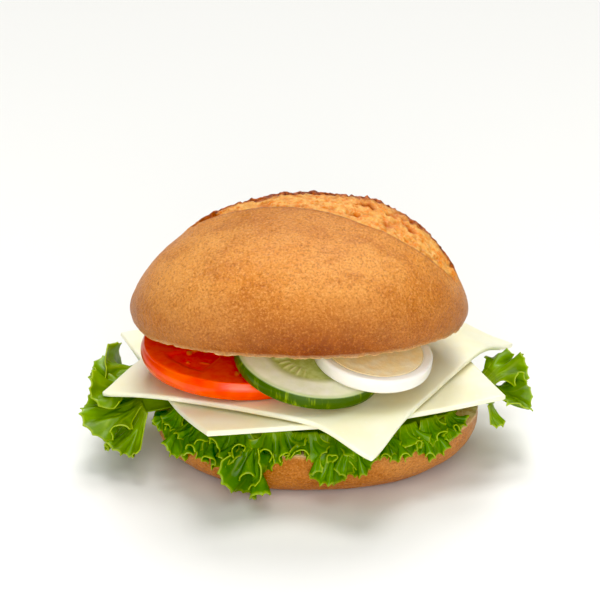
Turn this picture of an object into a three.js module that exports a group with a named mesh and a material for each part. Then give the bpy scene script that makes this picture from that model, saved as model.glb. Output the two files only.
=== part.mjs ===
// A filled bread roll: a crusty roll with one long split, cut across and filled with leaf lettuce, two square
// slices of cheese, and a slice each of tomato, cucumber and hard-boiled egg.
// Millimetres, +Z up, +X to the right, +Y to the back. The origin is the middle of the face that it rests on.
import * as THREE from 'three';
import { mergeVertices } from 'three/addons/utils/BufferGeometryUtils.js';

// Driving sizes of the roll
const ROLL_LENGTH = 112.6;
const ROLL_DEPTH = 84;
const BOTTOM_HEIGHT = 18.5;
const TOP_HEIGHT = 41.2;
const WIDEST_LEVEL = 6; // of the upper half, above its cut
const CUT_INSET = 0.952; // the cut's outline as a share of the widest outline
const BOTTOM_SHARE = 0.965; // the lower half's widest outline as a share of the upper half's
const FOOT_SHARE = 0.58; // the flat foot as a share of the lower half's outline
const OUTLINE_POWER = 2.15; // 2 is an ellipse, more is squarer

// How the upper half lies on the filling: levels from here on are above the lower half's cut
const TOP_PLACE = new THREE.Vector3(-5.2, 0, 28.9);
const TOP_LEAN = THREE.MathUtils.degToRad(-8); // its front is lifted by the slices under it

// The split along the upper half, in its own frame
const SPLIT_LEFT = -42;
const SPLIT_RIGHT = 54.5;
const SPLIT_DROP = 2.2; // how far the torn floor starts below the front lip
const FRONT_LIP_RISE = 0.9;
const BACK_LIP_RISE = 2.4;
const BACK_LIP_PEAK = 2.4; // added where the split is widest
const BACK_LIP_PEAK_AT = 30;
const BACK_LIP_FADE = 0.42; // how far behind its crest the back lip runs out, in half depths
const CRUMB_PRESS = 7; // how far the filling has pressed into the soft cut of the upper half

// Driving sizes of the filling
const CHEESE_SIDE = 103;
const CHEESE_THICKNESS = 1.8;
const LEAF_THICKNESS = 1.1;
const TOMATO = { radius: 32.3, thickness: 6.3, bulge: 0.9, round: 0.8 };
const CUCUMBER = { radius: 25, thickness: 4.6, bulge: 0.4, round: 0.6 };
const EGG = { radius: 19.6, thickness: 5, bulge: 0.5, round: 0.9 };
const YOLK_RADIUS = 16.2;
const GAP = 0.35; // between pieces that touch

// How each slice of cheese lies: its middle and turn, and its height above the floor at a few places on it,
// which are given as shares of its side from its middle
const LOWER_CHEESE = {
  centre: new THREE.Vector2(-3.1, 9.2),
  turn: THREE.MathUtils.degToRad(19),
  rests: [
    [-0.5, -0.5, 34.5], [-0.25, -0.5, 32], [0, -0.5, 29.5], [0.25, -0.5, 29.5], [0.5, -0.5, 31],
    [-0.5, -0.25, 28.5], [-0.5, 0, 26], [0, 0, 28], [0.5, 0, 30],
    [-0.5, 0.5, 24.5], [0, 0.5, 26], [0.5, 0.5, 24],
  ],
};
const UPPER_CHEESE = {
  centre: new THREE.Vector2(-1.5, 11),
  turn: THREE.MathUtils.degToRad(-29.7),
  rests: [
    [-0.5, -0.5, 25], [-0.25, -0.5, 28.5], [0, -0.5, 31.5], [0.25, -0.5, 31.5], [0.5, -0.5, 26.5],
    [0.5, -0.25, 28.5], [-0.5, 0, 27], [0, 0, 31], [0.5, 0, 32], [0.5, 0.25, 31.5],
    [-0.5, 0.5, 25], [0, 0.5, 28.5], [0.5, 0.5, 25],
  ],
};
const REST_SLACK = 0.005; // how loosely a slice keeps to those heights

const SLICE_SIDES = 34;
const MERGE_WITHIN = 1e-3;

const crust = new THREE.MeshStandardMaterial({ color: '#d28a41', roughness: 0.62, metalness: 0 });
const lettuce = new THREE.MeshStandardMaterial({ color: '#6f9a1d', roughness: 0.45, metalness: 0 });
const cheese = new THREE.MeshStandardMaterial({ color: '#f8eecb', roughness: 0.4, metalness: 0 });
const tomato = new THREE.MeshStandardMaterial({ color: '#d8320f', roughness: 0.25, metalness: 0 });
const cucumber = new THREE.MeshStandardMaterial({ color: '#cfd79a', roughness: 0.3, metalness: 0 });
const eggWhite = new THREE.MeshStandardMaterial({ color: '#f6f3ea', roughness: 0.35, metalness: 0 });
const eggYolk = new THREE.MeshStandardMaterial({ color: '#f9d796', roughness: 0.7, metalness: 0 });

const { lerp, smoothstep, clamp, degToRad } = THREE.MathUtils;

// Drops the triangles that merging has shrunk to a line.
function withoutSlivers(geometry) {
  const kept = [];
  const old = geometry.index.array;
  for (let i = 0; i < old.length; i += 3) {
    const [a, b, c] = [old[i], old[i + 1], old[i + 2]];
    if (a !== b && b !== c && c !== a) kept.push(a, b, c);
  }
  return geometry.setIndex(kept);
}

// One closed surface through rows of points. Each row is a loop.
// The first and the last shrink to a point or a line.
function closedSkin(rows) {
  const count = rows[0].length;
  const geometry = new THREE.BufferGeometry().setFromPoints(rows.flat());
  const index = [];
  for (let row = 0; row + 1 < rows.length; row += 1) {
    for (let place = 0; place < count; place += 1) {
      const a = row * count + place;
      const b = row * count + ((place + 1) % count);
      index.push(a, b, b + count, a, b + count, a + count);
    }
  }
  geometry.setIndex(index);
  return withoutSlivers(mergeVertices(geometry, MERGE_WITHIN));
}

// A closed sheet of even thickness about a curved middle surface, which is given for u and v from 0 to 1.
function closedSheet(middle, columns, rowCount, thickness) {
  const step = 1e-3;
  const normalAt = (u, v) => {
    const along = middle(u + step, v).sub(middle(u - step, v));
    const across = middle(u, v + step).sub(middle(u, v - step));
    return along.cross(across).normalize();
  };
  const loop = (v, half) => {
    const upper = [];
    const lower = [];
    for (let column = 0; column <= columns; column += 1) {
      const u = column / columns;
      const lift = normalAt(u, v).multiplyScalar(half);
      upper.push(middle(u, v).add(lift));
      lower.unshift(middle(u, v).sub(lift));
    }
    return [...upper, ...lower];
  };
  const rows = [loop(0, 0)];
  for (let row = 0; row <= rowCount; row += 1) rows.push(loop(row / rowCount, thickness / 2));
  rows.push(loop(1, 0));
  return closedSkin(rows);
}

function named(name, geometry, material) {
  geometry.computeVertexNormals();
  const mesh = new THREE.Mesh(geometry, material);
  mesh.name = name;
  return mesh;
}

// The roll's outline seen from above, as a point at an angle round it.
function outline(angle, share = 1) {
  const cos = Math.cos(angle);
  const sin = Math.sin(angle);
  const reach = (Math.abs(cos) ** OUTLINE_POWER + Math.abs(sin) ** OUTLINE_POWER) ** (-1 / OUTLINE_POWER);
  const uneven = 1 + 0.012 * Math.sin(2 * angle + 0.6) + 0.008 * Math.sin(3 * angle + 1.9);
  const size = (reach * uneven * share) / 2;
  return new THREE.Vector2(ROLL_LENGTH * cos * size, ROLL_DEPTH * sin * size);
}

// The lower half: a flat foot, round sides and a flat cut.
function rollBottom() {
  const sides = 52;
  const sideRows = 7;
  const profile = [[0, 0], [FOOT_SHARE, 0]];
  for (let row = 1; row <= sideRows; row += 1) {
    const turn = (row / sideRows) * 1.68;
    const level = (BOTTOM_HEIGHT * (1 - Math.cos(turn))) / (1 - Math.cos(1.68));
    profile.push([lerp(FOOT_SHARE, 1, Math.sin(turn) ** 0.8), level]);
  }
  profile.push([0, BOTTOM_HEIGHT]);
  const rows = profile.map(([share, level]) => {
    const loop = [];
    for (let side = 0; side < sides; side += 1) {
      const at = outline((side / sides) * 2 * Math.PI, share * BOTTOM_SHARE);
      loop.push(new THREE.Vector3(at.x, at.y, level));
    }
    return loop;
  });
  return named('roll_bottom', closedSkin(rows), crust);
}

// Where the split's front lip runs, and how wide it is open, both as shares of the half depth at x.
function splitAt(x) {
  const along = clamp((x - SPLIT_LEFT) / (SPLIT_RIGHT - SPLIT_LEFT), 0, 1);
  const front = -0.11 - 0.0075 * x - 0.08 * (1 - (x / 48) ** 2);
  const width = 0.12 + 1.25 * along * (1 - along) ** 0.4;
  const strength = smoothstep(along, 0, 0.12) * (1 - smoothstep(along, 0.86, 1));
  return { front, back: front + width, strength };
}

// How far the crust at a share of the half depth stands above a plain dome, round the split.
function splitRise(x, depthShare) {
  const { front, back, strength } = splitAt(x);
  const crest = BACK_LIP_RISE + BACK_LIP_PEAK * Math.exp(-(((x - BACK_LIP_PEAK_AT) / 16) ** 2));
  if (depthShare <= front) return strength * FRONT_LIP_RISE * smoothstep(depthShare, front - 0.2, front);
  if (depthShare >= back) return strength * crest * (1 - smoothstep(depthShare, back, back + BACK_LIP_FADE));
  const across = (depthShare - front) / (back - front);
  return strength * lerp(-SPLIT_DROP, crest, across ** 1.3);
}

// One cross-section of the upper half: from the back rim over the split to the front rim,
// and back along the cut.
function topSection(turn) {
  const halfLength = ROLL_LENGTH / 2;
  const x = -halfLength * Math.cos(turn);
  const share = Math.sin(turn);
  const halfDepth = (ROLL_DEPTH / 2) * share;
  const { front, back } = splitAt(x);
  const shares = [];
  const span = (from, to, count) => {
    const start = Math.acos(clamp(from, -1, 1));
    const end = Math.acos(clamp(to, -1, 1));
    for (let i = 0; i < count; i += 1) shares.push(Math.cos(lerp(start, end, i / count)));
  };
  const lipGap = 0.012;
  span(0.999, back + lipGap, 8);
  span(back, front + lipGap, 5);
  span(front, -0.999, 9);
  shares.push(-0.999);
  const loop = shares.map((depthShare) => {
    const dome = (TOP_HEIGHT - WIDEST_LEVEL) * share ** 1.25 * Math.sqrt(1 - depthShare ** 2);
    const rise = splitRise(x, depthShare) * smoothstep(share, 0, 0.5);
    return new THREE.Vector3(x, halfDepth * depthShare, WIDEST_LEVEL + dome + rise);
  });
  const cutShares = [-1, -0.8, -0.5, 0, 0.5, 0.8, 1];
  cutShares.forEach((depthShare) => {
    const fromMiddle = Math.cos(turn) ** 2 + (share * depthShare) ** 2;
    const pressed = CRUMB_PRESS * (1 - smoothstep(fromMiddle, 0.3, 0.92));
    loop.push(new THREE.Vector3(x * CUT_INSET, halfDepth * CUT_INSET * depthShare, pressed));
  });
  return loop;
}

// The upper half: cross-sections along its length, leaning back on the filling.
function rollTop() {
  const sections = 30;
  const rows = [];
  for (let i = 0; i <= sections; i += 1) rows.push(topSection((i / sections) * Math.PI));
  const mesh = named('roll_top', closedSkin(rows), crust);
  mesh.position.copy(TOP_PLACE);
  mesh.rotation.x = TOP_LEAN;
  return mesh;
}

// Solves a set of linear equations. Each row holds its factors, and then its result.
function solved(rows) {
  const count = rows.length;
  rows.forEach((_, column) => {
    const rest = rows.slice(column).map((row) => Math.abs(row[column]));
    const pivot = column + rest.indexOf(Math.max(...rest));
    [rows[column], rows[pivot]] = [rows[pivot], rows[column]];
    rows.forEach((row, place) => {
      if (place === column) return;
      const times = row[column] / rows[column][column];
      for (let i = column; i <= count; i += 1) row[i] -= times * rows[column][i];
    });
  });
  return rows.map((row, place) => row[count] / row[place]);
}

// Where a place lies on a slice of cheese, as shares of its side from its middle.
function shareOn({ centre, turn }, at) {
  return at.clone().rotateAround(centre, -turn).sub(centre).divideScalar(CHEESE_SIDE);
}

// The height of a smoothly bent slice at a place: each of its rests pulls it with the cube of the distance.
function draped(slice) {
  const places = slice.rests.map(([u, v]) => new THREE.Vector2(u, v));
  const terms = (share) => [...places.map((place) => place.distanceTo(share) ** 3), 1, share.x, share.y];
  const rows = places.map((place, i) => {
    const row = [...terms(place), slice.rests[i][2]];
    row[i] += REST_SLACK;
    return row;
  });
  const level = [places.map(() => 1), places.map((place) => place.x), places.map((place) => place.y)];
  level.forEach((row) => rows.push([...row, 0, 0, 0, 0]));
  const pulls = solved(rows);
  return (at) => {
    const parts = terms(shareOn(slice, at)).map((term, i) => term * pulls[i]);
    return parts.reduce((sum, part) => sum + part, 0);
  };
}

const lowerLevel = draped(LOWER_CHEESE);
const upperRest = draped(UPPER_CHEESE);

// The upper slice lies on the lower one, and hangs where it goes past it.
function upperLevel(at) {
  const share = shareOn(LOWER_CHEESE, at);
  const reach = Math.max(Math.abs(share.x), Math.abs(share.y));
  const own = upperRest(at);
  const touching = lowerLevel(at) + CHEESE_THICKNESS + 2 * GAP;
  const gap = own - touching;
  const held = touching + 0.5 * (gap + Math.sqrt(gap ** 2 + 1.5));
  return lerp(held, own, smoothstep(reach, 0.49, 0.68));
}

// A square slice of cheese, turned about its middle and draped.
function cheeseSlice(name, { centre, turn }, levelAt) {
  const cells = 11;
  const middle = (u, v) => {
    const flat = new THREE.Vector2(u - 0.5, v - 0.5).multiplyScalar(CHEESE_SIDE);
    const at = flat.rotateAround(new THREE.Vector2(), turn).add(centre);
    return new THREE.Vector3(at.x, at.y, levelAt(at) - BOTTOM_HEIGHT);
  };
  return named(name, closedSheet(middle, cells, cells, CHEESE_THICKNESS), cheese);
}

// A leaf tucked between roll and cheese. It spans two angles round the roll,
// and its frilled edge bends over the rim.
function lettuceLeaf(name, leaf) {
  const rim = 0.46; // where the leaf passes the roll's rim, as a share of the way to its edge
  const middle = (u, v) => {
    const angle = lerp(leaf.from, leaf.to, u);
    const edgeOn = outline(angle, BOTTOM_SHARE);
    const outward = edgeOn.clone().normalize();
    const inside = Math.min(v / rim, 1);
    const past = Math.max(0, (v - rim) / (1 - rim));
    const lobe = 0.78 + 0.22 * Math.sin(leaf.lobes * u * 2 * Math.PI + leaf.phase);
    const length = leaf.reach * lobe * lerp(1, leaf.taper, u) * smoothstep(u, leaf.narrow, 0.22) * past;
    const bend = lerp(leaf.droop[0], leaf.droop[1], u) * past;
    const straight = Math.abs(bend) < 1e-4;
    const out = straight ? length : (length * Math.sin(bend)) / bend;
    const down = straight ? 0 : (length * (1 - Math.cos(bend))) / bend;
    const wave = Math.sin(leaf.waves * u * 2 * Math.PI + 1.6 * v + leaf.phase);
    const frill = leaf.frill * smoothstep(v, 0.05, 0.5) * wave;
    const share = lerp(leaf.inner, 1, inside);
    const clear = out + leaf.clear * smoothstep(past, 0, 0.45) + frill * Math.sin(bend);
    return new THREE.Vector3(
      edgeOn.x * share + outward.x * clear,
      edgeOn.y * share + outward.y * clear,
      leaf.level - down + frill * Math.cos(bend),
    );
  };
  return named(name, closedSheet(middle, leaf.columns, leaf.rows, LEAF_THICKNESS), lettuce);
}

// The profile of a slice with rounded, slightly bulging sides, from its axis below to its axis above.
function sliceProfile({ radius, thickness, bulge, round }) {
  const sideSteps = 3;
  const profile = [new THREE.Vector2(0, 0), new THREE.Vector2(radius - round, 0)];
  for (let i = 0; i <= sideSteps; i += 1) {
    const up = i / sideSteps;
    const out = radius - bulge * (2 * up - 1) ** 2;
    profile.push(new THREE.Vector2(out, lerp(round * 0.4, thickness - round * 0.4, up)));
  }
  profile.push(new THREE.Vector2(radius - round, thickness), new THREE.Vector2(0, thickness));
  return profile;
}

// Turns a profile round Z, with Z up.
function turned(profile) {
  const geometry = new THREE.LatheGeometry(profile, SLICE_SIDES);
  geometry.deleteAttribute('normal');
  geometry.deleteAttribute('uv');
  geometry.rotateX(Math.PI / 2);
  return withoutSlivers(mergeVertices(geometry, MERGE_WITHIN));
}

function tomatoSlice() {
  const mesh = named('tomato_slice', turned(sliceProfile(TOMATO)), tomato);
  mesh.position.set(-26.4, -0.4, 16.2);
  mesh.rotation.set(degToRad(1.2), degToRad(2.2), 0);
  return mesh;
}

function cucumberSlice() {
  const mesh = named('cucumber_slice', turned(sliceProfile(CUCUMBER)), cucumber);
  mesh.position.set(-2.8, -18.5, 21.7);
  mesh.rotation.set(degToRad(8), degToRad(10), 0);
  return mesh;
}

// The egg slice: a ring of white with the yolk filling its hole, both the whole thickness of the slice.
function eggSlice() {
  const slice = new THREE.Group();
  const ring = sliceProfile(EGG).filter((point) => point.x > YOLK_RADIUS);
  ring.push(new THREE.Vector2(YOLK_RADIUS, EGG.thickness));
  ring.push(new THREE.Vector2(YOLK_RADIUS, 0));
  ring.push(ring[0].clone());
  const yolk = { radius: YOLK_RADIUS - GAP, thickness: EGG.thickness, bulge: 0, round: 0.1 };
  slice.add(named('egg_white', turned(ring), eggWhite));
  slice.add(named('egg_yolk', turned(sliceProfile(yolk)), eggYolk));
  slice.position.set(18.3, -19, 23.9);
  slice.rotation.set(degToRad(7), degToRad(8), 0);
  return slice;
}

const leaves = {
  lettuce_front: {
    from: degToRad(210), to: degToRad(339), inner: 0.5, level: 3.7, reach: 21, taper: 0.45, droop: [1.9, 1.9],
    narrow: -0.16, clear: 3.6, frill: 2.5, waves: 7, lobes: 3, phase: 0.4, columns: 48, rows: 7,
  },
  lettuce_left: {
    from: degToRad(163), to: degToRad(206), inner: 0.55, level: 3.2, reach: 25, taper: 1, droop: [-0.5, 1.5],
    narrow: -1, clear: 0, frill: 2, waves: 2, lobes: 1, phase: 5.2, columns: 20, rows: 7,
  },
  lettuce_right: {
    from: degToRad(342), to: degToRad(377), inner: 0.55, level: 4.6, reach: 18, taper: 1, droop: [0.7, -0.5],
    narrow: -1, clear: 0, frill: 2.6, waves: 2, lobes: 1, phase: 3.4, columns: 20, rows: 7,
  },
  lettuce_back: {
    from: degToRad(20), to: degToRad(160), inner: 0.5, level: 3.2, reach: 15, taper: 0.8, droop: [1.7, 1.7],
    narrow: -1, clear: 3.4, frill: 2, waves: 6, lobes: 3, phase: 1.2, columns: 33, rows: 6,
  },
};

const filling = new THREE.Group();
filling.position.z = BOTTOM_HEIGHT;
Object.entries(leaves).forEach(([name, leaf]) => filling.add(lettuceLeaf(name, leaf)));
filling.add(cheeseSlice('cheese_lower', LOWER_CHEESE, lowerLevel));
filling.add(cheeseSlice('cheese_upper', UPPER_CHEESE, upperLevel));
filling.add(tomatoSlice(), cucumberSlice(), eggSlice(), rollTop());

const filledRoll = new THREE.Group();
filledRoll.add(rollBottom(), filling);

export default filledRoll;
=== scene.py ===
# %% [markdown]
# # A filled bread roll
# The real thing is a crusty oval roll with one long split, cut across and filled with frilled lettuce, two
# square slices of cheese, and a slice each of tomato, cucumber and hard-boiled egg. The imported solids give
# every piece its place. This lesson makes the pieces that are looked at, one after the other, each standing
# for its solid.

# %% Load the fixed frame
import math

import bpy
import numpy as np
from mathutils import Euler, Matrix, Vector


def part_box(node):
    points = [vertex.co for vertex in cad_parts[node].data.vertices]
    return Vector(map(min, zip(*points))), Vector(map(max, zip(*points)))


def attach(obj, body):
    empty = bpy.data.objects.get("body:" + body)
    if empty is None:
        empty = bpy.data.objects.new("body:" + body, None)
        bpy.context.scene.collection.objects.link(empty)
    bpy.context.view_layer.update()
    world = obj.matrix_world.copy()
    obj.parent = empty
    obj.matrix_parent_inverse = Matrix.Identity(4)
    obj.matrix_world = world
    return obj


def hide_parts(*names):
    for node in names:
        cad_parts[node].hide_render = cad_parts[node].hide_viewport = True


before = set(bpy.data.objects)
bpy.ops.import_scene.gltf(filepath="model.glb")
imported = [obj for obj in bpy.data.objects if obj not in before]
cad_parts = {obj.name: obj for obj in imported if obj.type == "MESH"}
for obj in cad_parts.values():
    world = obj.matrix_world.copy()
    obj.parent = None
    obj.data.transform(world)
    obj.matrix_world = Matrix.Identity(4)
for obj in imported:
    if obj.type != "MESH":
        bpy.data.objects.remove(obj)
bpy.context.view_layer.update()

MM = 0.001

# %% [markdown]
# ## The camera
# The roll was taken from straight in front, looking down by about 24 degrees from far away. A long lens
# from 0.9 m gives the same slight perspective, and its focal length follows from how wide the picture is at
# the roll.

# %% Put the camera where the photograph was taken
CAMERA_TARGET = Vector((-5.3, 0, 56)) * MM
CAMERA_DISTANCE = 0.9
CAMERA_ELEVATION = math.radians(24)
PICTURE_WIDTH = 200 * MM
SENSOR_WIDTH = 36

away = Vector((0, -math.cos(CAMERA_ELEVATION), math.sin(CAMERA_ELEVATION)))
bpy.ops.object.camera_add(
    location=CAMERA_TARGET + CAMERA_DISTANCE * away,
    rotation=(math.pi / 2 - CAMERA_ELEVATION, 0, 0),
)
camera = bpy.context.object
camera.data.sensor_width = SENSOR_WIDTH
camera.data.lens = SENSOR_WIDTH * CAMERA_DISTANCE / PICTURE_WIDTH
bpy.context.scene.camera = camera
print("lens in mm:", round(camera.data.lens))

# %% [markdown]
# ## Floor and light
# The roll was taken on a white ground in soft light, with its shadow towards the viewer. Two lamps that are
# as wide as a sky light the whole floor alike, one from above and one from behind, and the one behind
# throws the shadow forwards. Three square lamps in front then brighten what the crust would leave dark. The
# surroundings look pale to the camera and give only a little light, so that the shadow stays.

# %% Set the tones and the surroundings
tones = bpy.context.scene.view_settings
tones.view_transform = "Standard"
tones.look = "None"
tones.use_curve_mapping = True
tones.curve_mapping.black_level = (0.02, 0.02, 0.02)

LIGHT_GIVEN, LIGHT_SEEN = 0.15, 0.95
surroundings = bpy.data.worlds.new("surroundings")
surroundings.use_nodes = True
background = surroundings.node_tree.nodes["Background"]
background.inputs["Color"].default_value = (1, 1, 1, 1)
seen = surroundings.node_tree.nodes.new("ShaderNodeLightPath").outputs["Is Camera Ray"]
strength = surroundings.node_tree.nodes.new("ShaderNodeMapRange")
strength.inputs["To Min"].default_value = LIGHT_GIVEN
strength.inputs["To Max"].default_value = LIGHT_SEEN
surroundings.node_tree.links.new(seen, strength.inputs["Value"])
surroundings.node_tree.links.new(strength.outputs["Result"], background.inputs["Strength"])
bpy.context.scene.world = surroundings
print("surroundings give", LIGHT_GIVEN, "and show", LIGHT_SEEN)

# %% Lay the floor
bpy.ops.object.select_all(action="DESELECT")
bpy.ops.mesh.primitive_plane_add(size=8, location=(0, 0, 0))
floor = bpy.context.object
floor.name = "floor"
white_floor = bpy.data.materials.new("white_floor")
white_floor.use_nodes = True
floor_shader = white_floor.node_tree.nodes["Principled BSDF"]
floor_shader.inputs["Base Color"].default_value = (0.87, 0.867, 0.835, 1)
floor_shader.inputs["Roughness"].default_value = 0.9
floor_shader.inputs["Specular IOR Level"].default_value = 0.1
floor.data.materials.append(white_floor)
print("floor in m:", tuple(round(side) for side in floor.dimensions[:2]))

# %% Hang the lamps
LAMPS_FACE = Vector((0, 0, 0.04))


def facing(place):
    """The turn that makes a lamp at this place face the roll."""
    return (LAMPS_FACE - Vector(place)).to_track_quat("-Z", "Y").to_euler()


def hang_sky(name, place, strength, spread):
    """A lamp so large and far away that it lights the whole floor alike."""
    bpy.ops.object.light_add(type="SUN", location=place, rotation=facing(place))
    lamp = bpy.context.object
    lamp.name = name
    lamp.data.energy = strength
    lamp.data.angle = math.radians(spread)


def hang_lamp(name, place, size, watts):
    """A square soft lamp."""
    bpy.ops.object.light_add(type="AREA", location=place, rotation=facing(place))
    lamp = bpy.context.object
    lamp.name = name
    lamp.data.size = size
    lamp.data.energy = watts


hang_sky("sky_above", (0.05, 0.1, 1.1), strength=1.2, spread=26)
hang_sky("sky_back", (0.05, 0.8, 1.0), strength=1.7, spread=30)
hang_lamp("lamp_high", (0, -0.6, 0.95), size=0.5, watts=2.4)
hang_lamp("lamp_front", (0, -1.1, 0.5), size=0.6, watts=7)
hang_lamp("lamp_low", (0.1, -1.2, 0.2), size=0.6, watts=2)

# %% [markdown]
# ## Small helpers
# Food has no straight edges, so most pieces start as a primitive and are then shaped point by point. These
# helpers read and write a mesh's points as one array, ease between two values, and give smooth random lumps
# of a chosen size.

# %% Helpers for shaping points
def points_of(piece):
    flat = np.empty(len(piece.data.vertices) * 3)
    piece.data.vertices.foreach_get("co", flat)
    return flat.reshape(-1, 3)


def move_points(piece, points):
    piece.data.vertices.foreach_set("co", np.ascontiguousarray(points, dtype=float).ravel())
    piece.data.update()


def normals_of(piece):
    flat = np.empty(len(piece.data.vertices) * 3)
    piece.data.vertex_normals.foreach_get("vector", flat)
    return flat.reshape(-1, 3)


def store(piece, name, values):
    """Keeps one number for each point, which a finish can read by its name."""
    piece.data.attributes.new(name, "FLOAT", "POINT")
    piece.data.attributes[name].data.foreach_set("value", np.asarray(values, dtype=float))


def ease(value, low, high):
    """Goes smoothly from 0 at low to 1 at high."""
    t = np.clip((value - low) / (high - low), 0, 1)
    return t * t * (3 - 2 * t)


def lumps(points, size, seed):
    """Smooth random lumps of about this size, from -1 to 1."""
    table = np.random.default_rng(seed).uniform(-1, 1, (32, 32, 32))
    cell = np.asarray(points, dtype=float) / size + 100
    low = np.floor(cell).astype(int)
    t = cell - low
    t = t * t * (3 - 2 * t)
    total = np.zeros(len(cell))
    for corner in np.ndindex(2, 2, 2):
        weight = np.prod(np.where(corner, t, 1 - t), axis=1)
        i, j, k = ((low + corner) % 32).T
        total += weight * table[i, j, k]
    return total


def lumps_along(value, size, seed):
    """The same along a line."""
    value = np.asarray(value, dtype=float).ravel()
    return lumps(np.stack([value, value * 0 + 3.3, value * 0 + 7.7], axis=1), size, seed)


print("lumps at the origin:", lumps(np.zeros((1, 3)), 1, 0).round(2))

# %% Helpers for starting and finishing a piece
def sphere_start(name, segments, rings):
    """A sphere, with each point's share of the way round it and of the way down from its upper pole."""
    bpy.ops.object.select_all(action="DESELECT")
    bpy.ops.mesh.primitive_uv_sphere_add(segments=segments, ring_count=rings, radius=1)
    piece = bpy.context.object
    piece.name = name
    ball = points_of(piece)
    around = np.round(np.arctan2(ball[:, 1], ball[:, 0]) / (2 * math.pi) * segments) % segments / segments
    down = np.round(np.arccos(np.clip(ball[:, 2], -1, 1)) / math.pi * rings) / rings
    return piece, around, down


def grid_start(name, columns, rows):
    """A flat grid, with each point's share of the way along it and across it."""
    bpy.ops.object.select_all(action="DESELECT")
    bpy.ops.mesh.primitive_grid_add(x_subdivisions=columns, y_subdivisions=rows, size=1)
    piece = bpy.context.object
    piece.name = name
    flat = points_of(piece)
    return piece, flat[:, 0] + 0.5, flat[:, 1] + 0.5


def select_only(piece):
    bpy.ops.object.select_all(action="DESELECT")
    piece.select_set(True)
    bpy.context.view_layer.objects.active = piece


def turn_outwards(piece):
    select_only(piece)
    bpy.ops.object.mode_set(mode="EDIT")
    bpy.ops.mesh.select_all(action="SELECT")
    bpy.ops.mesh.normals_make_consistent(inside=False)
    bpy.ops.object.mode_set(mode="OBJECT")
    bpy.ops.object.shade_smooth()


def apply_modifier(piece, name, kind, **settings):
    select_only(piece)
    modifier = piece.modifiers.new(name, kind)
    for setting, value in settings.items():
        setattr(modifier, setting, value)
    bpy.ops.object.modifier_apply(modifier=name)


def placed(points, centre, turns):
    """Points in mm turned about X and Y in degrees and moved to their place, in metres."""
    turn = np.array(Euler([math.radians(t) for t in turns]).to_matrix())
    return (points @ turn.T + np.array(centre)) * MM


def hand_over(piece, node, finish):
    """Gives the piece its finish, and lets it stand for its solid."""
    piece.data.materials.clear()
    piece.data.materials.append(finish)
    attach(piece, "root")
    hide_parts(node)
    print(piece.name, "faces:", len(piece.data.polygons))


print("pieces can be started and handed over")

# %% [markdown]
# ## A helper for finishes
# Every finish here is a Principled shader whose colour, roughness and relief come from noise and from the
# numbers that are stored on the points. Wiring nodes by hand takes four lines each, so this class adds a
# node, sets or links what goes into it, and returns what comes out of it.

# %% A helper for building a finish out of nodes
def srgb(red, green, blue):
    """A colour picked on a screen, 0 to 255, as the linear colour that shaders use."""
    shares = (red / 255, green / 255, blue / 255)
    linear = [c / 12.92 if c <= 0.04045 else ((c + 0.055) / 1.055) ** 2.4 for c in shares]
    return (*linear, 1)


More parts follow.
